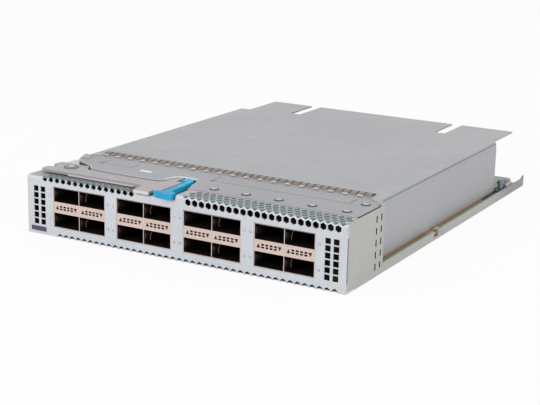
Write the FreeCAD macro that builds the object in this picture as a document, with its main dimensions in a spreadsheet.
import FreeCAD, Part
import math
import os
import re
from Sketcher import Constraint

# Switch line card: a sheet-metal card that slides into a network switch chassis.
# Frame: +X to the right of the front panel, +Y towards the rear, +Z up.  All pieces are laid out
# from the panel's front face (y = 0) and are moved together so that the origin of the part is
# the centre of the tray's underside.

SIZES = {
    # front panel
    "panel_width": 214.0, "panel_height": 38.4, "panel_sheet": 1.2, "panel_bend": 1.5,
    "lever_drop": 2.9, "step_place": -0.9, "panel_foot": 10.0, "panel_side": 9.0,
    "hood_depth": 15.1, "hood_joggle": 1.1, "hood_back": 30.0, "ledge_back": 46.5,
    # port groups in the front panel
    "group_count": 4, "group_pitch": 45.96, "group_middle": 0.17,
    "cutout_width": 37.95, "cutout_height": 25.1, "cutout_low": 5.75,
    # ventilation holes
    "vent_width": 3.4, "vent_height": 3.3, "vent_across": 5.1, "vent_up": 4.05, "vent_low": 6.05,
    "vent_edge": 4.8, "hex_size": 3.65, "hex_pitch": 4.47, "hex_front_level": 3.0, "hex_depth": 2.2,
    "hex_first": 8.2, "hex_count": 22, "hex_rows": 4,
    "ledge_hex_inset": 13.0, "ledge_hex_count": 15, "ledge_hex_rise": -0.6,
    "foot_hex_inset": 24.0, "foot_hex_count": 42, "foot_hex_level": 0.15,
    # tray
    "tray_length": 282.7, "tray_sheet": 1.2, "seam": 0.15, "cheek_depth": 45.45,
    "rail_height": 5.5, "tray_lip": 7.0, "cheek_slot_width": 1.5, "cheek_slot_height": 3.9,
    "cheek_slot_low": 3.9, "cheek_slot_up": 6.87, "cheek_slot_across": 6.1,
    "cheek_slot_back": 3.0, "notch_place": 119.5, "notch_length": 12.5, "tab_length": 4.5,
    "tab_reach": 2.5, "tab_gap": 0.5, "spike_height": 1.8, "spike_length": 4.0, "corner_tab": 12.0,
    "corner_tab_depth": 7.6, "board_gap": 1.0,
    # circuit board and what is soldered to it
    "board_thickness": 2.0, "standoff_height": 1.0, "standoff_radius": 3.0,
    "board_front": 12.5, "board_width": 211.0, "board_wide_back": 210.0,
    "board_tail_width": 197.0, "board_tail_gap": 0.7, "board_screw_across": 94.5,
    "board_screw_front": 77.7, "board_screw_back": 196.2, "tail_screw_across": 59.1,
    "tail_screw_back": 251.0,
    "screw_play": 0.1,
    "chip_width": 45.0, "chip_height": 3.4, "chip_lid": 38.0, "chip_back": 152.0,
    "sink_width": 84.0, "sink_length": 78.0, "sink_base": 4.0, "sink_height": 26.0,
    "fin_count": 19, "fin_thickness": 0.9,
    "gearbox_width": 17.0, "gearbox_height": 2.2, "gearbox_back": 84.0,
    "module_width": 34.0, "module_length": 24.0, "module_height": 9.0,
    "module_side": 72.2, "module_back": 190.4,
    # port cages
    "cage_sheet": 0.4, "cage_gap": 0.1, "cage_depth": 58.0, "port_height": 8.65,
    "cage_mouth": 14.4, "bar_hole_width": 1.8, "bar_hole_height": 1.05, "bar_hole_across": 2.65,
    "bar_hole_up": 1.5, "arrow_width": 2.2, "arrow_height": 2.3, "arrow_inset": 2.5,
    "arrow_play": 0.1, "pipe_width": 1.6, "pipe_tail": 3.0,
    "tongue_length": 8.0, "tongue_width": 14.6, "tongue_height": 4.8, "card_slot": 1.2,
    # top cover
    "cover_width": 201.6, "cover_sheet": 1.0, "cover_bend": 1.6, "cover_rise": 0.5,
    "cover_front": 16.2, "cover_plate_width": 210.6, "cover_plate_back": 45.2,
    "deck_front": 56.0, "deck_corner": 10.0, "cover_body_back": 238.0, "cover_back": 277.0,
    "roof_left": 92.5, "roof_slot_depth": 33.5, "roof_slot_width": 7.6, "roof_slot_place": 57.0,
    "slit": 0.7, "cover_lip": 0.1, "wall_step": 1.2,
    "wall_shoulder": 4.8,
    # cover screws
    "screw_back": 23.7, "screw_first": 9.9, "screw_pitch": 21.13, "screw_count": 5,
    "screw_radius": 1.25, "screw_head_radius": 2.5, "screw_head": 0.6, "screw_length": 4.5,
    "corner_screw_inset": 8.6, "corner_screw_back": 42.2,
    # spring finger strip on the cover
    "strip_width": 186.0, "strip_front": 56.4, "strip_depth": 8.2, "strip_rise": 0.9,
    "strip_sheet": 0.25, "finger_pitch": 4.65, "finger_count": 40, "finger_gap": 0.6, "strip_tab": 1.0,
    # ejector lever, its pivot and its latch
    "pivot_side": 90.3, "pivot_back": 21.0, "pivot_radius": 2.5, "pivot_play": 0.08,
    "pivot_ring": 5.75, "washer_height": 0.95, "lever_sheet": 1.5, "lever_play": 0.08,
    "head_reach": 104.0, "jaw_radius": 3.0, "jaw_back": 19.0, "grip_left": 30.0,
    "grip_right": 14.4, "lever_front": 9.8, "lever_back": 21.9, "lever_lip": 0.6,
    "latch_height": 3.2, "latch_play": 0.3, "latch_travel": 2.0, "latch_tongue": 0.45,
    "spring_sheet": 0.25,
    # parts at the rear
    "socket_side": 68.5, "socket_width": 12.0, "socket_height": 13.0, "socket_bore": 3.1,
    "sink_post": 3.0, "plug_length": 21.0, "plug_width": 50.0, "plug_height": 19.0,
    "plug_inset": 9.0, "wafer_count": 12, "wafer_slot": 1.1,
    "post_side": 102.6, "post_back": 247.0, "post_radius": 1.9, "post_top": 10.8,
    "post_flange": 2.6, "clip_back": 256.5, "clip_rise": 4.0, "clip_length": 10.0, "clip_width": 4.6,
    "label_width": 11.0, "label_height": 2.8, "label_low": 1.9, "label_inset": 2.6,
    "label_thickness": 0.2,
    # small features
    "catch_reach": 0.8, "vent_rows": 6, "cheek_rows": 5, "tab_sheet": 1.0,
    "board_corner": 3.0, "cage_foot": 1.2, "foot_inset": 4.0, "socket_play": 0.2, "led_gap": 0.1,
    "tongue_front": 39.3, "tongue_left": -81.5, "tongue_short": 22.0,
    "tongue_right": 87.5, "tongue_long": 89.5, "tongue_left_depth": 9.7, "tongue_right_depth": 11.3,
    "oblong_side": 46.1, "oblong_back": 36.4,
    "oblong_length": 6.0, "oblong_width": 2.6, "rivet_tail": 0.8, "rivet_head": 0.7, "rivet_rim": 4.5,
    "lip_reach": 1.5, "lip_sheet": 1.2, "latch_front": 3.2, "latch_tongue_reach": 7.0,
    "latch_tongue_width": 8.0,
    "latch_edge": 0.5, "ledge_hex_rows": 3,
}

doc = FreeCAD.newDocument("switch_line_card")
sheet = doc.addObject("Spreadsheet::Sheet", "Sizes")
for row, (alias, value) in enumerate(SIZES.items(), start=1):
    sheet.set("A%d" % row, alias)
    sheet.set("B%d" % row, repr(value))
    sheet.setAlias("B%d" % row, alias)
doc.recompute()

# Places that several pieces share, each written once in terms of the sheet.
PLACES = {
    "ledge_top": "(panel_height - lever_drop)",
    "board_low": "(tray_sheet + standoff_height)",
    "board_top": "(tray_sheet + standoff_height + board_thickness)",
    "cage_low": "(cutout_low + cage_gap)",
    "cage_top": "(cutout_low + cutout_height - cage_gap)",
    "cage_half": "(cutout_width / 2 - cage_gap)",
    "column_width": "((cutout_width - 2 * cage_gap - 3 * cage_sheet) / 2)",
    "column_pitch": "((cutout_width - 2 * cage_gap - cage_sheet) / 2)",
    "port_pitch": "(cutout_height - 2 * cage_gap - 2 * cage_sheet - port_height)",
    "bar_level": "(cutout_low + cutout_height / 2)",
    "lever_low": "(panel_height - lever_drop + washer_height + lever_play)",
    "lever_top": "(panel_height - lever_drop + washer_height + lever_play + lever_sheet)",
    "latch_low": "(panel_height - lever_drop + latch_play)",
    "hex_row": "(hex_pitch * sqrt(3) / 2)",
    "deck_top": "(panel_height + cover_rise)",
    "sink_low": "(tray_sheet + standoff_height + board_thickness + chip_height)",
}

PLANES = {"top": ("XY_Plane", 1), "front": ("XZ_Plane", -1), "side": ("YZ_Plane", 1)}
AXES = {"x": "X_Axis", "y": "Y_Axis", "z": "Z_Axis"}
WORD = re.compile(r"[a-z][a-z_]*")


def named(text):
    """Write out the shared places and point each size name at the sheet."""
    text = str(text)
    while any(word in PLACES for word in WORD.findall(text)):
        text = WORD.sub(lambda found: PLACES.get(found.group(), found.group()), text)
    return WORD.sub(lambda found: "Sizes." + found.group() if found.group() in SIZES
                    else found.group(), text)


def size(alias):
    """The number that the sheet holds for one size."""
    return float(sheet.get(alias))


def bind(thing, **values):
    """Tie properties to the sheet; a double underscore stands for a dot."""
    for name, text in values.items():
        thing.setExpression(name.replace("__", "."), named(text))


class Piece:
    """A PartDesign body made of pads, pockets, patterns and fillets tied to the sheet."""

    def __init__(self, label):
        self.body = doc.addObject("PartDesign::Body", label)
        self.count = 0

    def label(self, kind):
        return "%s_%s_%d" % (self.body.Name, kind, self.count)

    def origin(self, role):
        return next(part for part in self.body.Origin.OriginFeatures if part.Role == role)

    def sketch(self, plane, level, loops):
        """Closed loops in one of the body's planes, moved to a level along its axis."""
        self.count += 1
        role, sense = PLANES[plane]
        sketch = self.body.newObject("Sketcher::SketchObject", self.label("outline"))
        sketch.AttachmentSupport = [(self.origin(role), "")]
        sketch.MapMode = "FlatFace"
        sketch.setExpression(".AttachmentOffset.Base.z", named("%d * (%s)" % (sense, level)))
        for loop in loops:
            if loop[0] == "circle":
                draw_circle(sketch, *loop[1:])
            else:
                draw_polygon(sketch, loop)
        return sketch

    def feature(self, kind, plane, level, depth, loops, towards):
        sketch = self.sketch(plane, level, loops)
        feature = self.body.newObject("PartDesign::" + kind, self.label(kind))
        feature.Profile = sketch
        own_way = PLANES[plane][1] if kind == "Pad" else -PLANES[plane][1]
        feature.Reversed = towards != own_way
        feature.Refine = kind == "Pad"
        bind(feature, Length=depth)
        self.body.Tip = feature
        return feature

    def pad(self, plane, level, depth, *loops, towards=1):
        return self.feature("Pad", plane, level, depth, loops, towards)

    def pocket(self, plane, level, depth, *loops, towards=1):
        return self.feature("Pocket", plane, level, depth, loops, towards)

    def repeat(self, feature, axis, spacing, count):
        """Evenly spaced copies of a feature along one of the body's axes."""
        self.count += 1
        pattern = self.body.newObject("PartDesign::LinearPattern", self.label("row"))
        pattern.Originals = [feature]
        pattern.Refine = False
        pattern.Mode = "Spacing"
        pattern.Direction = (self.origin(AXES[axis]), [""])
        bind(pattern, Offset=spacing, Occurrences=count)
        self.body.Tip = pattern
        return pattern

    def fillet(self, radius, pick):
        """Round the edges of the newest shape that pick accepts."""
        doc.recompute()
        self.count += 1
        base = self.body.Tip
        edges = ["Edge%d" % (i + 1) for i, edge in enumerate(base.Shape.Edges) if pick(edge)]
        if not edges:
            raise RuntimeError("no edge to round on " + self.body.Name)
        fillet = self.body.newObject("PartDesign::Fillet", self.label("fillet"))
        fillet.Base = (base, edges)
        bind(fillet, Radius=radius)
        self.body.Tip = fillet
        return fillet


def draw_polygon(sketch, corners):
    """Straight sides between corners; every corner is tied to the sheet on both axes."""
    total = len(corners)
    turn = 2 * math.pi / total
    spots = [FreeCAD.Vector(50 * math.cos(i * turn), 50 * math.sin(i * turn), 0) for i in range(total)]
    first = sketch.GeometryCount
    for i in range(total):
        sketch.addGeometry(Part.LineSegment(spots[i], spots[(i + 1) % total]), False)
    for i in range(total):
        side = first + i
        after = first + (i + 1) % total
        sketch.addConstraint(Constraint("Coincident", side, 2, after, 1))
    for i, (across, up) in enumerate(corners):
        for kind, text, start in (("DistanceX", across, spots[i].x), ("DistanceY", up, spots[i].y)):
            index = sketch.addConstraint(Constraint(kind, -1, 1, first + i, 1, start))
            sketch.setExpression("Constraints[%d]" % index, named(text))


def draw_circle(sketch, across, up, radius):
    """A circle whose centre and radius are tied to the sheet."""
    circle = sketch.addGeometry(Part.Circle(FreeCAD.Vector(1, 1, 0), FreeCAD.Vector(0, 0, 1), 1), False)
    for kind, text in (("DistanceX", across), ("DistanceY", up)):
        index = sketch.addConstraint(Constraint(kind, -1, 1, circle, 3, 1))
        sketch.setExpression("Constraints[%d]" % index, named(text))
    index = sketch.addConstraint(Constraint("Radius", circle, 1))
    sketch.setExpression("Constraints[%d]" % index, named(radius))


def rectangle(left, low, width, height):
    """The corners of a rectangle from its lower left one."""
    right, top = "(%s) + (%s)" % (left, width), "(%s) + (%s)" % (low, height)
    return [(left, low), (right, low), (right, top), (left, top)]


def ring(across, up, radius, sides):
    """The corners of an even-sided outline round a centre, for small holes and fasteners."""
    turns = [2 * math.pi * i / sides for i in range(sides)]
    return [("(%s) + %.5f * (%s)" % (across, math.cos(turn), radius),
             "(%s) + %.5f * (%s)" % (up, math.sin(turn), radius)) for turn in turns]


def bend(level):
    """Outline of the front sheet's outer bend at a level, from its top side to its front side."""
    inset = "panel_bend * (1 - sqrt(0.5))"
    return [("panel_bend", level), (inset, "%s - %s" % (level, inset)), ("0", level + " - panel_bend")]


def near(value, target, slack=0.02):
    return abs(value - target) < slack


def runs_along(edge, axis):
    """True where a straight edge is parallel to an axis."""
    if not isinstance(edge.Curve, Part.Line):
        return False
    way = edge.tangentAt(edge.FirstParameter)
    return abs(abs(getattr(way, axis)) - 1) < 1e-6


# Sides of the even-sided rods that stand for rims, screw heads and screw shanks.
RIM_SIDES, HEAD_SIDES, SHANK_SIDES = 24, 10, 6
PARTS = []


def node(thing):
    """List a finished sub-part and move it so that the tray's underside is centred on the origin."""
    thing = thing.body if isinstance(thing, Piece) else thing
    thing.setExpression(".Placement.Base.y", named("-tray_length / 2"))
    PARTS.append(thing)
    return thing


def place(thing, x, y, z):
    for axis, text in (("x", x), ("y", y), ("z", z)):
        thing.setExpression(".Placement.Base." + axis, named(text))
    return thing


def block(name, x, y, z, width, depth, height):
    """A box from its lowest corner and its three sizes."""
    thing = doc.addObject("Part::Box", name)
    bind(thing, Length=width, Width=depth, Height=height)
    return place(thing, x, y, z)


def rod(name, x, y, z, radius, height, towards=(0, 0, 1)):
    """A cylinder from the centre of its first end."""
    thing = doc.addObject("Part::Cylinder", name)
    thing.Placement.Rotation = FreeCAD.Rotation(FreeCAD.Vector(0, 0, 1), FreeCAD.Vector(*towards))
    bind(thing, Radius=radius, Height=height)
    return place(thing, x, y, z)


def prism(name, x, y, z, radius, height, sides):
    """An upright even-sided rod, for fasteners that repeat."""
    thing = doc.addObject("Part::Prism", name)
    thing.Polygon = sides
    bind(thing, Circumradius=radius, Height=height)
    return place(thing, x, y, z)


def fuse(name, parts):
    thing = doc.addObject("Part::MultiFuse", name)
    thing.Shapes = parts
    return thing


def cut(name, base, tools):
    thing = doc.addObject("Part::Cut", name)
    thing.Base = base
    thing.Tool = tools[0] if len(tools) == 1 else fuse(name + "_tools", tools)
    return thing


def group(name, parts):
    """Several separate solids kept as one sub-part."""
    thing = doc.addObject("Part::Compound", name)
    thing.Links = parts
    return thing


def front_panel():
    """Folded front sheet: a full-height hood on the right and a lower ledge under the lever."""
    piece = Piece("folded_panel")
    half, under = "panel_width / 2", "panel_height - panel_sheet"
    foot = [("0", "0"), ("panel_foot", "0"), ("panel_foot", "panel_sheet"),
            ("panel_sheet", "panel_sheet")]
    ledge = foot + [("panel_sheet", "ledge_top - panel_sheet"),
                    ("ledge_back", "ledge_top - panel_sheet"),
                    ("ledge_back", "ledge_top")] + bend("ledge_top")
    hood = foot + [("panel_sheet", under), ("hood_depth - 0.4 * hood_joggle", under),
                   ("hood_depth + 0.6 * hood_joggle", under + " - hood_joggle"),
                   ("hood_back", under + " - hood_joggle"), ("hood_back", "panel_height - hood_joggle"),
                   ("hood_depth + hood_joggle", "panel_height - hood_joggle"),
                   ("hood_depth", "panel_height")] + bend("panel_height")
    piece.pad("side", "-" + half, half + " + step_place", ledge)
    piece.pad("side", "step_place", half + " - step_place", hood)
    web_back, web_top = "hood_depth - hood_joggle", "panel_height - panel_sheet / 2"
    piece.pad("side", "step_place", "panel_sheet",
              [("0", "ledge_top - panel_sheet"), (web_back, "ledge_top - panel_sheet"),
               (web_back, web_top), ("panel_bend", web_top), ("0", "panel_height - panel_bend")])
    flanges = (half + " - tray_sheet - seam - panel_sheet", "tray_sheet + seam - " + half)
    piece.pad("front", "panel_sheet / 2", "panel_side - panel_sheet / 2",
              *[rectangle(left, "cutout_low", "panel_sheet", "cutout_height") for left in flanges])
    piece.pad("side", "step_place - catch_reach", "catch_reach + panel_sheet / 2",
              rectangle("hex_pitch / 2", "lever_low", "hex_size", "lever_sheet"))
    piece.pocket("top", "panel_height", "panel_sheet + hood_joggle",
                 rectangle(half + " - tray_sheet - 2 * seam", "panel_sheet + seam", "tray_sheet + 3 * seam",
                           "hood_back"), towards=-1)

    first = "group_middle - (group_count - 1) / 2 * group_pitch - cutout_width / 2"
    opening = piece.pocket("front", "0", "panel_sheet",
                           rectangle(first, "cutout_low", "cutout_width", "cutout_height"))
    piece.repeat(opening, "x", "group_pitch", "group_count")
    columns = ["vent_edge - " + half, half + " - vent_edge - vent_width"]
    columns += [columns[0] + " + vent_across", columns[1] + " - vent_across"]
    vents = piece.pocket("front", "0", "panel_sheet",
                         *[rectangle(left, "vent_low", "vent_width", "vent_height") for left in columns])
    piece.repeat(vents, "z", "vent_up", "vent_rows")

    # Holes for the cover's screws and for the lever's pivot.
    hole = piece.pocket("top", "panel_height", "panel_sheet + hood_joggle",
                        ring("screw_first", "screw_back", "screw_radius + screw_play", SHANK_SIDES),
                        towards=-1)
    piece.repeat(hole, "x", "screw_pitch", "screw_count")
    piece.pocket("top", "ledge_top", "panel_sheet",
                 ("circle", "-pivot_side", "pivot_back", "pivot_radius + screw_play / 2"), towards=-1)
    faces = cut("front_panel_face", piece.body, [hex_punches("face_punches", face_rows())])
    return node(cut("front_panel", faces, [hex_punches("top_punches", top_rows())]))


def hex_prism(across, back, up, depth, way):
    """A pointed-up hexagonal prism that starts at a point and runs back into the face or down."""
    flat = size("hex_size")
    tall = flat / math.sqrt(3)
    corners = [(0, tall), (-flat / 2, tall / 2), (-flat / 2, -tall / 2), (0, -tall), (flat / 2, -tall / 2),
               (flat / 2, tall / 2)]
    if way == "back":
        spots = [FreeCAD.Vector(across + u, back, up + v) for u, v in corners]
        reach = FreeCAD.Vector(0, depth, 0)
    else:
        # A hole that runs over the bend is opened from above only behind the face.
        face = size("panel_sheet")
        if back - tall / 2 < face:
            corners.remove((0, -tall))
        spots = [FreeCAD.Vector(across + u, max(back + v, face), up) for u, v in corners]
        reach = FreeCAD.Vector(0, 0, -depth)
    return Part.Face(Part.makePolygon(spots + spots[:1])).extrude(reach)


def hex_punches(name, rows):
    """All the punches of one direction as a single tool, read from the sheet."""
    prisms = [hex_prism(first + i * size("hex_pitch"), back, up, depth, way)
              for first, back, up, depth, way, count in rows for i in range(count)]
    tool = doc.addObject("Part::Feature", name)
    tool.Shape = Part.makeCompound(prisms)
    return tool


def hex_starts():
    """Where the rows begin: odd and even rows of the hood, the ledge's row and the foot's row."""
    half, pitch = size("panel_width") / 2, size("hex_pitch")
    odd = size("step_place") + size("hex_first")
    return (odd, odd - pitch / 2, size("ledge_hex_inset") - half,
            size("foot_hex_inset") - half)


def face_rows():
    """Rows punched from the front: one whole row on the hood, and the lower halves of bent rows."""
    odd, even, ledge, foot = hex_starts()
    height, sheet_depth, deep = size("panel_height"), size("panel_sheet"), size("hex_depth")
    row = size("hex_pitch") * math.sqrt(3) / 2
    count = int(size("hex_count"))
    face = height - size("hex_front_level")
    return [(odd, 0, face, sheet_depth, "back", count), (even, 0, face + row, deep, "back", count + 1),
            (ledge, 0, height - size("lever_drop") + size("ledge_hex_rise"), deep, "back",
             int(size("ledge_hex_count"))),
            (foot, 0, size("foot_hex_level"), sheet_depth, "back", int(size("foot_hex_count")))]


def top_rows():
    """Rows punched from above, each set back by one row from the one in front of it."""
    odd, even, ledge, _ = hex_starts()
    height, deep, pitch = size("panel_height"), size("hex_depth"), size("hex_pitch")
    row = pitch * math.sqrt(3) / 2
    first, count = row - size("hex_front_level"), int(size("hex_count"))
    rows = [((odd if i % 2 else even), first + i * row, height, deep, "down", count + 1 - i % 2)
            for i in range(int(size("hex_rows")))]
    ledge_top, count = height - size("lever_drop"), int(size("ledge_hex_count"))
    rows += [(ledge + i % 2 * pitch / 2, size("ledge_hex_rise") + i * row, ledge_top, deep, "down",
              count - i % 2) for i in range(int(size("ledge_hex_rows")))]
    return rows


def base_tray():
    """Folded floor with two low rails and two high cheeks beside the front panel."""
    piece = Piece("base_tray")
    half, inner = "panel_width / 2", "(panel_width / 2 - tray_sheet)"
    start = "panel_foot + seam"
    piece.pad("front", start, "tray_length - panel_foot - seam",
              [("-" + half, "0"), (half, "0"), (half, "rail_height"), (inner, "rail_height"),
               (inner, "tray_sheet"), ("-" + inner, "tray_sheet"), ("-" + inner, "rail_height"),
               ("-" + half, "rail_height")])
    behind = "panel_sheet + seam"
    for side, top in ((inner, "panel_height"), ("-" + half, "ledge_top - panel_sheet - seam")):
        piece.pad("side", side, "tray_sheet",
                  [(behind, behind), (start, behind), (start, "0"), ("cheek_depth", "0"),
                   ("cheek_depth", top), (behind, top)])
    lip_front = "panel_foot - tray_lip"
    piece.pad("top", "tray_sheet", "tray_sheet",
              rectangle("cover_width / -2", lip_front, "cover_width",
                        "board_front - board_gap - (%s)" % lip_front))
    piece.pad("top", "panel_height - cover_sheet - tray_sheet", "tray_sheet",
              rectangle(inner + " - corner_tab", "cheek_depth - seam - corner_tab_depth",
                        "corner_tab + tray_sheet / 2", "corner_tab_depth"))
    piece.pad("top", "tray_sheet / 2", "standoff_height + tray_sheet / 2",
              *[ring(x, y, "standoff_radius", HEAD_SIDES) for x, y in board_screw_spots()])

    # A stretch of each rail is cut down, and a tab folds in over the edge of the board.
    low = "tray_sheet + standoff_height / 2"
    tab_place = "notch_place + notch_length - tab_length - tab_gap"
    for side, way in ((half, -1), ("-" + half, 1)):
        piece.pocket("side", side, "tray_sheet",
                     rectangle("notch_place", low, "notch_length", "rail_height"), towards=way)
        sign = "-" if way > 0 else ""
        ear = "%s(%s - tab_reach)" % (sign, inner)
        piece.pad("front", tab_place, "tab_length",
                  [(sign + half, "tray_sheet / 2"), (sign + half, "rail_height"), (ear, "rail_height"),
                   (ear, "rail_height - tab_sheet"), (sign + inner, "rail_height - tab_sheet"),
                   (sign + inner, "tray_sheet / 2")])
        piece.pad("side", inner if way < 0 else "-" + half, "tray_sheet",
                  [("tray_length - spike_length", "rail_height - tray_sheet"),
                   ("tray_length", "rail_height - tray_sheet"),
                   ("tray_length", "rail_height + spike_height"),
                   ("tray_length - spike_length / 3", "rail_height + spike_height / 3"),
                   ("tray_length - spike_length", "rail_height")])
    for side, way, rows in ((half, -1, "cheek_rows"), ("-" + half, 1, "cheek_rows - 1")):
        back = "cheek_depth - cheek_slot_back - cheek_slot_width"
        slots = piece.pocket("side", side, "tray_sheet",
                             *[rectangle(start, "cheek_slot_low", "cheek_slot_width", "cheek_slot_height")
                               for start in (back, back + " - cheek_slot_across")], towards=way)
        piece.repeat(slots, "z", "cheek_slot_up", rows)
    piece.pocket("top", "0", "board_low",
                 *[ring(x, y, "screw_radius + screw_play", SHANK_SIDES) for x, y in board_screw_spots()])
    piece.pocket("top", "panel_height", "cover_sheet + tray_sheet",
                 ring(*corner_screw_spot(), "screw_radius + screw_play", SHANK_SIDES), towards=-1)
    piece.pocket("top", "0", "tray_sheet",
                 ring("post_side", "post_back", "post_radius / 2 + screw_play", SHANK_SIDES))
    return node(piece)


def corner_screw_spot():
    return "cover_plate_width / 2 - corner_screw_inset + seam", "corner_screw_back"


def board_screw_spots():
    """Pairs of screws along both edges of the board and a row near its tail."""
    rows = ("board_screw_front", "board_screw_back")
    spots = [(sign + "board_screw_across", row) for row in rows for sign in ("-", "")]
    return spots + [(sign + "tail_screw_across", "tail_screw_back") for sign in ("-", "")]


def main_board():
    """The circuit board, wide beside the cover and narrower at its tail."""
    piece = Piece("main_board")
    wide, tail, end = "board_width / 2", "board_tail_width / 2", "(tray_length - board_tail_gap)"
    step = "board_wide_back + (board_width - board_tail_width) / 2"
    piece.pad("top", "board_low", "board_thickness",
              [("-" + wide, "board_front"), (wide, "board_front"), (wide, "board_wide_back"), (tail, step),
               (tail, end), ("-" + tail, end), ("-" + tail, step), ("-" + wide, "board_wide_back")])
    back = size("tray_length") - size("board_tail_gap")
    piece.fillet("board_corner", lambda edge: runs_along(edge, "z") and near(edge.CenterOfMass.y, back))
    piece.pocket("top", "board_top", "board_thickness",
                 *[ring(x, y, "screw_radius + 2 * screw_play", SHANK_SIDES) for x, y in board_screw_spots()],
                 towards=-1)
    return node(piece)


def board_screws():
    """Pan-head screws through the board into the tray's raised seats."""
    screws = []
    for i, (x, y) in enumerate(board_screw_spots()):
        head = prism("board_screw_head_%d" % i, x, y, "board_top", "screw_head_radius", "screw_head",
                     HEAD_SIDES)
        shank = prism("board_screw_shank_%d" % i, x, y, "tray_sheet / 4", "screw_radius", "board_top",
                      SHANK_SIDES)
        screws.append(fuse("board_screw_%d" % i, [head, shank]))
    return node(group("board_screws", screws))


def group_centre(i):
    return "(group_middle + (%d - (group_count - 1) / 2) * group_pitch)" % i


def arrow(x, up):
    """A triangle that fills the arrow's box, pointing up or down."""
    def corners(play):
        half, tall = "(arrow_width / 2 + %s)" % play, "(arrow_height / 2 + %s)" % play
        tip, base = ("+", "-") if up else ("-", "+")
        return [("%s - %s" % (x, half), "bar_level %s %s" % (base, tall)),
                ("%s + %s" % (x, half), "bar_level %s %s" % (base, tall)),
                ("%s" % x, "bar_level %s %s" % (tip, tall))]
    return corners


def arrow_row(i):
    """The four arrows of a port group: up and down in each column of ports."""
    row = []
    for column in ("-", "+"):
        middle = "%s %s column_pitch / 2" % (group_centre(i), column)
        reach = "(column_width / 2 - arrow_inset)"
        row += [arrow("%s - %s" % (middle, reach), True), arrow("%s + %s" % (middle, reach), False)]
    return row


def port_cage(i):
    """Pressed cage for two columns of two ports, with a pierced bar between the rows."""
    piece = Piece("port_cage_%d" % (i + 1))
    centre = group_centre(i)
    left, height = centre + " - cage_half", "cage_top - cage_low"
    piece.pad("front", "cage_gap", "cage_depth", rectangle(left, "cage_low", "2 * cage_half", height))
    columns = (left + " + cage_sheet", centre + " + cage_sheet / 2")
    port = piece.pocket("front", "cage_gap", "cage_depth",
                        *[rectangle(x, "cage_low + cage_sheet", "column_width", "port_height")
                          for x in columns])
    piece.repeat(port, "z", "port_pitch", "2")
    piece.pocket("front", "cage_gap + cage_sheet", "cage_depth",
                 *[rectangle(x, "cage_low + 2 * cage_sheet + port_height", "column_width",
                             "port_pitch - port_height - 2 * cage_sheet") for x in columns])
    piece.pocket("front", "cage_gap + cage_depth", "cage_mouth",
                 *[rectangle(x, "cage_low - cage_sheet", "column_width", height) for x in columns],
                 towards=-1)
    across = "bar_hole_across * 1.5 + bar_hole_width / 2"
    holes = [rectangle("%s %s column_pitch / 2 - (%s)" % (centre, column, across),
                       "bar_level - bar_hole_height / 2 %s bar_hole_up / 2" % row,
                       "bar_hole_width", "bar_hole_height")
             for column in ("-", "+") for row in ("-", "+")]
    hole = piece.pocket("front", "cage_gap", "cage_sheet", *holes)
    piece.repeat(hole, "x", "bar_hole_across", "4")
    piece.pocket("front", "cage_gap", "cage_sheet", *[corners("arrow_play") for corners in arrow_row(i)])
    # Feet stand the cage on the board.
    feet = [rectangle("%s %s" % (centre, x), y, "cage_foot", "cage_foot * 3")
            for x in ("- cage_half", "+ cage_half - cage_foot")
            for y in ("board_front + foot_inset", "cage_depth - cage_mouth - foot_inset")]
    piece.pad("top", "board_top", "cage_low - board_top + cage_sheet / 2", *feet)
    return node(piece)


def port_connectors(i):
    """Two stacked sockets behind a cage; each has a slotted tongue for the module's edge card."""
    towers = []
    for side, column in (("left", "-"), ("right", "+")):
        name = "socket_%s_%d_" % (side, i)
        middle = "(%s %s column_pitch / 2)" % (group_centre(i), column)
        width = "(column_width - 2 * socket_play)"
        front = "cage_gap + cage_depth - cage_mouth + cage_sheet"
        parts = [block(name + "tower", "%s - %s / 2" % (middle, width), front, "board_top", width,
                       "cage_mouth - 3 * cage_sheet",
                       "cage_top - cage_sheet - socket_play - board_top")]
        slots = []
        for row, level in (("low", "cage_low + cage_sheet + port_height / 2"),
                           ("high", "cage_low + cage_sheet + port_pitch + port_height / 2")):
            parts.append(block(name + row + "_tongue", "%s - tongue_width / 2" % middle,
                               front + " - tongue_length", "(%s) - tongue_height / 2" % level,
                               "tongue_width", "tongue_length + cage_sheet", "tongue_height"))
            slots.append(block(name + row + "_slot", "%s - tongue_width / 2 + card_slot" % middle,
                               front + " - tongue_length - cage_sheet", "(%s) - card_slot / 2" % level,
                               "tongue_width - 2 * card_slot", "tongue_length", "card_slot"))
        for edge, x in (("left", "%s - column_width / 2" % middle),
                        ("right", "%s + column_width / 2 - arrow_inset - arrow_width" % middle)):
            slots.append(block(name + edge + "_channel", x, front + " - cage_sheet",
                               "bar_level - (port_pitch - port_height) / 2 + cage_sheet",
                               "arrow_inset + arrow_width", "cage_mouth",
                               "port_pitch - port_height - 2 * cage_sheet"))
        towers.append(cut(name + "body", fuse(name + "solid", parts), slots))
    return node(group("port_connectors_%d" % (i + 1), towers))


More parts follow.
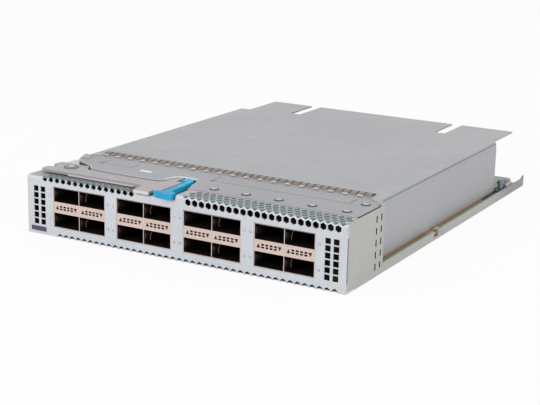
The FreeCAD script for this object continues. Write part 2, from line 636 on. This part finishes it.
def light_pipes(i):
    """A moulded row of four light pipes from the board to the arrows in the cage's bar."""
    piece = Piece("light_pipes_%d" % (i + 1))
    end = "cage_gap + cage_depth + pipe_tail"
    centre = group_centre(i)
    low = "bar_level - pipe_width / 2"
    piece.pad("front", "cage_gap + cage_depth + cage_gap", "pipe_tail",
              rectangle(centre + " - column_pitch", low, "2 * column_pitch", "pipe_width"))
    front, leg = "cage_gap + cage_sheet", "%s - pipe_width" % end
    for column in ("-", "+"):
        for side in ("-", "+"):
            middle = "%s %s column_pitch / 2 %s (column_width / 2 - arrow_inset)" % (
                centre, column, side)
            piece.pad("side", middle + " - pipe_width / 2", "pipe_width",
                      [(front, low), (leg, low), (leg, "board_top + led_gap"),
                       (end, "board_top + led_gap"), (end, low + " + pipe_width"),
                       (front, low + " + pipe_width")])
    piece.pad("front", "cage_gap", "2 * cage_sheet + arrow_play",
              *[corners("0") for corners in arrow_row(i)])
    return node(piece)


def top_cover():
    """One folded sheet: plate with the lever's pocket, raised deck, two walls and a slotted roof."""
    half, plate = "cover_width / 2", "cover_plate_width / 2"
    outline = doc.addObject("Sketcher::SketchObject", "cover_plate_outline")
    outline.setExpression(".Placement.Base.z", named("ledge_top + cover_lip"))
    draw_polygon(outline, [
        (plate, "cover_front"), (plate, "cover_plate_back"), (half, "cover_plate_back"),
        (half, "deck_front + 1"), ("-" + half, "deck_front + 1"), ("-" + half, "pivot_back + 22.5"),
        ("-pivot_side - 7.2", "pivot_back + 17.2"), ("-pivot_side + 0.8", "pivot_back + 13.2"),
        ("-pivot_side + 8.8", "pivot_back + 8.6"), ("-pivot_side + 13", "lever_back + 1.3"),
        ("-grip_left", "lever_back + 1.0"), ("-grip_left + 3.7", "lever_back + 3.6"),
        ("-grip_left + 5", "lever_back + 12.2"), ("-grip_left + 8.2", "lever_back + 15.7"),
        ("-grip_right + 3", "lever_back + 15.7"), ("-grip_right + 6.6", "lever_back + 12.9"),
        ("-grip_right + 8.2", "lever_back + 7.4"), ("-grip_right + 9.8", "lever_back + 0.4"),
        ("-grip_right + 11", "cover_front")])
    skin = doc.addObject("Part::Extrusion", "cover_plate_block")
    skin.Base = outline
    skin.DirMode = "Custom"
    skin.Dir = FreeCAD.Vector(0, 0, 1)
    skin.Solid = True
    bind(skin, LengthFwd="lever_drop - cover_lip")
    inset = doc.addObject("Part::Offset2D", "cover_plate_inset")
    inset.Source = outline
    inset.Join = "Intersection"
    bind(inset, Value="-cover_sheet")
    hollow = doc.addObject("Part::Extrusion", "cover_plate_hollow")
    hollow.Base = inset
    hollow.DirMode = "Custom"
    hollow.Dir = FreeCAD.Vector(0, 0, 1)
    hollow.Solid = True
    bind(hollow, LengthFwd="lever_drop - cover_lip - cover_sheet")
    drop = "lever_drop - cover_lip - cover_sheet"
    # The drawn wall stays only round the lever's pocket.
    open_front = block("cover_open_front", "-grip_right + 11 + cover_sheet", "0", "ledge_top",
                       "panel_width", "deck_front + deck_corner", drop + " + cover_lip")
    open_back = block("cover_open_back", "-panel_width / 2", "deck_front - 2", "ledge_top",
                      "panel_width", "deck_corner", drop + " + cover_lip")
    shell = cut("cover_plate", skin, [hollow, open_front, open_back])

    piece = Piece("cover_deck")
    start = "deck_front - deck_corner / 2"
    shy = half + " - 1.5 * cover_bend"
    deck = [("-" + half, start), ("-(%s)" % shy, start), ("1 - strip_width / 2", "deck_front"),
            ("strip_width / 2 - 1", "deck_front"), (shy, start), (half, start), (half, "cover_body_back"),
            (shy, "cover_body_back"), (shy, "cover_back")]
    inner_end, slot_side = "cover_back - roof_slot_depth", "%s(roof_slot_place %s roof_slot_width / 2)"
    for sign, order in (("", "+-"), ("-", "-+")):
        near_side, far_side = slot_side % (sign, order[0]), slot_side % (sign, order[1])
        deck += [(near_side, "cover_back"), (near_side, inner_end), (far_side, inner_end),
                 (far_side, "cover_back")]
    deck += [("-roof_left", "cover_back"), ("-roof_left", "cover_body_back"),
             ("-" + half, "cover_body_back")]
    piece.pad("top", "deck_top - cover_sheet", "cover_sheet", deck)
    walls = (half + " - cover_sheet", "-" + half)
    foot, shoulder = "board_top + cover_lip", "deck_top - wall_shoulder"
    end = "cover_body_back + wall_step"
    for side in walls:
        piece.pad("side", side, "cover_sheet",
                  [(start, foot), (end, foot), (end, shoulder), ("cover_body_back", shoulder),
                   ("cover_body_back", "deck_top - cover_sheet / 2"),
                   (start, "deck_top - cover_sheet / 2")])
    wide, top = size("cover_width") / 2, size("panel_height") + size("cover_rise")
    piece.fillet("cover_bend", lambda edge: runs_along(edge, "y") and near(edge.CenterOfMass.z, top)
                 and near(abs(edge.CenterOfMass.x), wide))
    for side, front in zip(walls, ("cheek_depth + seam", "ledge_back + seam")):
        piece.pad("side", side, "cover_sheet",
                  rectangle(front, foot, "%s - (%s)" % (start, front),
                            "panel_height - cover_sheet / 2 - (%s)" % foot))

    return node(cut("top_cover", fuse("cover_whole", [shell, piece.body]), cover_cuts()))


def cover_cuts():
    """Screw holes, the two lanced tongues, and the oblong slot."""
    top, deep = "panel_height - cover_sheet - cover_lip", "cover_sheet + 2 * cover_lip"
    tools = []
    for i, (x, y) in enumerate(cover_screw_spots()):
        tools.append(prism("cover_hole_%d" % i, x, y, top, "screw_radius + screw_play", deep,
                           SHANK_SIDES))
    tongues = (("left", "tongue_left", "tongue_left + tongue_short", "tongue_left_depth"),
               ("right", "tongue_right - tongue_long", "tongue_right", "tongue_right_depth"))
    for name, left, right, depth in tongues:
        tools.append(block("cover_%s_slit" % name, left, "tongue_front", top,
                           "(%s) - (%s)" % (right, left), "slit", deep))
        for end, x in (("start", left), ("end", right)):
            tools.append(block("cover_%s_slit_%s" % (name, end), x, "tongue_front", top, "slit", depth,
                               deep))
        tools.append(block("cover_%s_relief" % name, "%s - slit" % left, "tongue_front - slit", top,
                           "3 * slit", "3 * slit", deep))
    tools.append(block("cover_oblong", "-oblong_side - oblong_length / 2",
                       "oblong_back - oblong_width / 2", top, "oblong_length", "oblong_width", deep))
    for i, way in enumerate(("-", "+")):
        tools.append(prism("cover_oblong_end_%d" % i, "-oblong_side %s oblong_length / 2" % way,
                           "oblong_back", top, "oblong_width / 2", deep, HEAD_SIDES))
    return tools


def cover_screw_spots():
    row = [("screw_first + %d * screw_pitch" % i, "screw_back") for i in range(int(size("screw_count")))]
    return row + [corner_screw_spot()]


def cover_screws():
    """Low-headed screws that hold the cover's plate to the hood and to the tray's corner tab."""
    screws = []
    for i, (x, y) in enumerate(cover_screw_spots()):
        head = prism("screw_head_%d" % i, x, y, "panel_height", "screw_head_radius", "screw_head",
                     HEAD_SIDES)
        shank = prism("screw_shank_%d" % i, x, y, "panel_height - screw_length", "screw_radius",
                      "screw_length + screw_head / 2", SHANK_SIDES)
        screws.append(fuse("screw_%d" % i, [head, shank]))
    return node(group("cover_screws", screws))


def emi_finger_strip():
    """Arched beryllium strip cut into spring fingers, with a tab in front of every second one."""
    piece = Piece("emi_finger_strip")
    front, back = "strip_front", "(strip_front + strip_depth)"
    low, high = "deck_top", "(deck_top + strip_rise)"
    rise, fall = front + " + strip_depth / 3", back + " - strip_depth / 3"
    piece.pad("side", "-strip_width / 2", "strip_width",
              rectangle(front, low, "strip_depth / 6", "strip_sheet"))
    finger = piece.pad("side", "finger_gap / 2 - strip_width / 2", "finger_pitch - finger_gap",
                       [(front, low), (rise, high), (fall, high), (back, low),
                        (fall, high + " + strip_sheet"), (rise, high + " + strip_sheet")])
    piece.repeat(finger, "x", "finger_pitch", "finger_count")
    tab = piece.pad("top", "deck_top", "strip_sheet * 2",
                    rectangle("finger_pitch / 4 - strip_width / 2", "strip_front - strip_tab",
                              "finger_pitch * 0.7", "strip_tab + strip_sheet"))
    piece.repeat(tab, "x", "2 * finger_pitch", "finger_count / 2")
    return node(piece)


def lever_parts():
    """Bushing and washer on the ledge, the ejector lever on them, and the rivet through all."""
    x, y = "-pivot_side", "pivot_back"
    bore = "pivot_radius + screw_play / 2"
    disc = prism("washer_disc", x, y, "ledge_top", "pivot_ring", "washer_height", RIM_SIDES)
    washer = cut("lever_washer", disc,
                 [rod("washer_bore", x, y, "ledge_top - 1", bore, "washer_height + 2")])
    node(washer)
    head_low = "lever_top + lever_play"
    rivet = fuse("pivot_rivet", [
        rod("rivet_shank", x, y, "ledge_top - panel_sheet - rivet_tail", "pivot_radius",
            "lever_top + lever_play + rivet_head / 2 - ledge_top + panel_sheet + rivet_tail"),
        prism("rivet_ring", x, y, head_low, "rivet_rim", "rivet_head / 2", RIM_SIDES),
        prism("rivet_head", x, y, head_low, "pivot_radius + rivet_head", "rivet_head", RIM_SIDES),
        prism("rivet_foot", x, y, "ledge_top - panel_sheet - rivet_tail",
              "pivot_radius + rivet_tail", "rivet_tail", HEAD_SIDES)])
    node(rivet)

    piece = Piece("ejector_lever")
    left = "-head_reach"
    piece.pad("top", "lever_low", "lever_sheet",
              [(left + " + 1.6", "pivot_back - 12.4"), ("-pivot_side + 7", "pivot_back - 12.2"),
               ("-grip_left - 22", "lever_front"), ("-grip_left - 0.4", "lever_front"),
               ("-grip_left + 1.4", "-lip_reach"), ("-grip_right - 4", "-lip_reach"),
               ("-grip_right - 4", "latch_front + latch_play"),
               ("-grip_right", "latch_front + latch_play"), ("-grip_right", "lever_back + 6.2"),
               ("-grip_right - 4.6", "lever_back + 6.2"), ("-grip_right - 4.6", "lever_back + 14.2"),
               ("-grip_left + 8.6", "lever_back + 14.2"), ("-grip_left + 6.2", "lever_back + 11.5"),
               ("-grip_left + 5", "lever_back + 3.6"), ("-grip_left + 1.6", "lever_back"),
               ("-pivot_side + 12", "lever_back"), ("-pivot_side + 7.3", "pivot_back + 7.6"),
               (left + " + 1.6", "pivot_back + 8.2"), (left, "pivot_back + 6.6"),
               (left, "pivot_back - 10.8")])
    piece.pad("top", "ledge_top + lever_lip", "lever_low + lever_sheet / 2 - ledge_top - lever_lip",
              rectangle("-grip_left + 1.4", "-lip_reach", "grip_left - grip_right - 5.4", "lip_sheet"))
    piece.pad("top", "ledge_top + lever_lip", "lever_low + lever_sheet * 0.4 - ledge_top - lever_lip",
              rectangle("-pivot_side + 7", "lever_front - lip_sheet", "pivot_side - grip_left - 9",
                        "lip_sheet * 1.5"))
    piece.pocket("top", "lever_low", "lever_sheet",
                 ("circle", "-head_reach + jaw_radius / 4", "jaw_back", "jaw_radius"),
                 ("circle", x, y, "pivot_radius + pivot_play"))
    node(piece)


def release_latch():
    """Blue plastic latch that slides into the lever's grip, with a head at each end."""
    piece = Piece("release_latch")
    left = "(-grip_right + latch_travel + 0.6)"
    piece.pad("top", "latch_low", "latch_height",
              [("-grip_right - 0.9", "-1"), ("-grip_right + 3", "-1.1"), ("-grip_right + 6", "-2.6"),
               ("-grip_right + 11.4", "-2.8"), ("-grip_right + 11.9", "-2.2"),
               ("-grip_right + 11.6", "latch_front"),
               (left + " + 5.4", "latch_front + 1.6"), (left + " + 2.9", "lever_back + 8"),
               ("-grip_right + 5.2", "lever_back + 9.2"), ("-grip_right + 3.6", "lever_back + 13"),
               ("-grip_right - 1.6", "lever_back + 13"), ("-grip_right - 1.6", "lever_back + 7.4"),
               (left, "lever_back + 6.9"), (left, "latch_front"),
               ("-grip_right - 0.9", "latch_front - 0.4")])
    # A thin tongue reaches under the lever and keeps the latch from lifting.
    piece.pad("top", "latch_low", "latch_tongue",
              rectangle("-grip_right - latch_tongue_reach", "latch_front + 5",
                        left + " + grip_right + latch_tongue_reach + 1", "latch_tongue_width"))
    top = size("panel_height") - size("lever_drop") + size("latch_play") + size("latch_height")
    piece.fillet("latch_edge", lambda edge: near(edge.CenterOfMass.z, top))
    node(piece)

    # A bowed leaf spring between the lever's edge and the latch.
    spring = Piece("latch_spring")
    low, high = "lever_back - 13", "lever_back - 3"
    base, crown, thick = "-grip_right", "(" + left + " - 0.1)", "spring_sheet"
    spring.pad("top", "lever_low", "lever_sheet",
               [(base, low), (base + " + spring_sheet", low), (crown, "lever_back - 9"),
                (crown, "lever_back - 7"), (base + " + spring_sheet", high), (base, high),
                (crown + " - spring_sheet * 1.3", "lever_back - 7.1"),
                (crown + " - spring_sheet * 1.3", "lever_back - 8.9")])
    node(spring)


def switch_chip():
    """Main switching chip: a square carrier with a metal lid."""
    piece = Piece("switch_chip")
    piece.pad("top", "board_top", "chip_height / 2",
              rectangle("-chip_width / 2", "chip_back - chip_width / 2", "chip_width", "chip_width"))
    piece.pad("top", "board_top + chip_height / 2", "chip_height / 2",
              rectangle("-chip_lid / 2", "chip_back - chip_lid / 2", "chip_lid", "chip_lid"))
    return node(piece)


def chip_heatsink():
    """Extruded heatsink on the chip, with fins along the airflow and four sprung feet."""
    piece = Piece("chip_heatsink")
    front = "chip_back - sink_length / 2"
    piece.pad("top", "sink_low", "sink_base",
              rectangle("-sink_width / 2", front, "sink_width", "sink_length"))
    fin = piece.pad("top", "sink_low + sink_base", "sink_height - sink_base",
                    rectangle("-sink_width / 2", front, "fin_thickness", "sink_length"))
    piece.repeat(fin, "x", "(sink_width - fin_thickness) / (fin_count - 1)", "fin_count")
    feet = [rectangle("%s(sink_width / 2 - sink_post) - sink_post / 2" % side,
                      "chip_back %s (sink_length / 2 - sink_post) - sink_post / 2" % end,
                      "sink_post", "sink_post")
            for side in ("-", "") for end in ("-", "+")]
    piece.pad("top", "board_top", "chip_height + sink_base / 2", *feet)
    return node(piece)


def chips(name, spots, width, length, height):
    """A row of soldered packages that stand on the board."""
    parts = [block("%s_%d" % (name, i), "%s - %s / 2" % (x, width), "%s - %s / 2" % (y, length),
                   "board_top", width, length, height) for i, (x, y) in enumerate(spots)]
    return node(group(name, parts))


def backplane_connector(name, side):
    """High-density connector at the board's tail: a block of thin wafers behind a moulded face."""
    piece = Piece(name)
    left = "%s(plug_inset + plug_width / 2) - plug_width / 2" % side
    end = "tray_length"
    piece.pad("front", end + " - plug_length", "plug_length",
              [(left, "board_top"), (left + " + plug_width", "board_top"),
               (left + " + plug_width", "board_top + plug_height"), (left, "board_top + plug_height")])
    slot = piece.pocket("front", end, "plug_length / 3",
                        rectangle(left + " + wafer_slot", "board_top + 2 * wafer_slot", "wafer_slot * 1.6",
                                  "plug_height - 4 * wafer_slot"), towards=-1)
    piece.repeat(slot, "x", "(plug_width - 3.6 * wafer_slot) / (wafer_count - 1)", "wafer_count")
    piece.pocket("front", end + " - plug_length", "plug_length / 2",
                 rectangle(left + " - 1", "board_top + plug_height * 0.7", "plug_width + 2", "plug_height"))
    return node(piece)


def guide_socket(name, side):
    """Die-cast block that takes the chassis guide pin, with a lead-in at its mouth."""
    x, end = side + "socket_side", "tray_length"
    body = block(name + "_block", "%s - socket_width / 2" % x, end + " - plug_length", "board_top",
                 "socket_width", "plug_length", "socket_height")
    level = "board_top + socket_height / 2"
    hole = rod(name + "_bore", x, end + " - plug_length - 1", level, "socket_bore", "plug_length + 2",
               (0, 1, 0))
    return node(cut(name, body, [hole]))


def rear_post():
    """Captive screw beside the board's tail that locks the card to the chassis."""
    x, y = "post_side", "post_back"
    parts = [prism("post_body", x, y, "tray_sheet", "post_radius", "post_top - tray_sheet", HEAD_SIDES),
             prism("post_base", x, y, "tray_sheet", "post_flange", "2 * tray_sheet", HEAD_SIDES),
             prism("post_cap", x, y, "post_top - 2 * tray_sheet", "post_flange", "tray_sheet",
                   HEAD_SIDES),
             prism("post_shank", x, y, "tray_sheet / 4", "post_radius / 2", "tray_sheet", SHANK_SIDES)]
    return node(fuse("rear_lock_post", parts))


def rear_clip():
    """Pointed spring clip on the tray behind the lock post."""
    piece = Piece("rear_clip")
    middle, back = "post_side", "clip_back + clip_length / 2"
    front = "clip_back - clip_length / 2"
    piece.pad("top", "tray_sheet", "tray_sheet",
              [(middle + " - clip_width / 2", front), (middle + " + clip_width / 2", front),
               (middle + " + clip_width / 2", back + " - clip_width"), (middle, back),
               (middle + " - clip_width / 2", back + " - clip_width")])
    piece.pad("side", middle + " - clip_width / 2", "clip_width",
              [(front, "tray_sheet"), (front + " + tray_sheet", "tray_sheet"),
               (front + " + tray_sheet", "rail_height - tab_sheet"),
               (back + " - clip_width * 1.6", "rail_height + clip_rise - tab_sheet"),
               (back + " - clip_width * 1.6", "rail_height + clip_rise"), (front, "rail_height")])
    return node(piece)


def label_strip():
    """Blank dark label in the front panel's lower left corner."""
    piece = Piece("label_strip")
    piece.pad("front", "-label_thickness", "label_thickness",
              rectangle("label_inset - panel_width / 2", "label_low", "label_width", "label_height"))
    return node(piece)


def build():
    front_panel()
    base_tray()
    main_board()
    board_screws()
    for i in range(int(size("group_count"))):
        port_cage(i)
        port_connectors(i)
        light_pipes(i)
    top_cover()
    cover_screws()
    emi_finger_strip()
    lever_parts()
    release_latch()
    switch_chip()
    chip_heatsink()
    spots = [(group_centre(i), "gearbox_back") for i in range(int(size("group_count")))]
    chips("gearbox_chips", spots, "gearbox_width", "gearbox_width", "gearbox_height")
    spots = [("-module_side", "chip_back"), ("-module_side", "module_back"),
             ("module_side", "module_back")]
    chips("power_modules", spots, "module_width", "module_length", "module_height")
    for name, side in (("left", "-"), ("right", "")):
        backplane_connector("backplane_connector_" + name, side)
        guide_socket("guide_socket_" + name, side)
    rear_post()
    rear_clip()
    label_strip()


def check_and_write():
    """Stop on any failed object or bad solid; otherwise write one STEP file for each sub-part."""
    doc.recompute()
    for thing in doc.Objects:
        if {"Invalid", "Error"} & set(thing.State):
            raise RuntimeError("%s failed: %s" % (thing.Label, thing.State))
    os.makedirs("parts", exist_ok=True)
    for thing in PARTS:
        shape = thing.Shape
        if shape.isNull() or not shape.isValid() or not shape.Solids:
            raise RuntimeError(thing.Label + " has no valid solid")
        shape.exportStep("parts/%s.step" % thing.Label)
        print("%-26s solids %2d volume %10.1f" % (thing.Label, len(shape.Solids), shape.Volume))


build()
check_and_write()
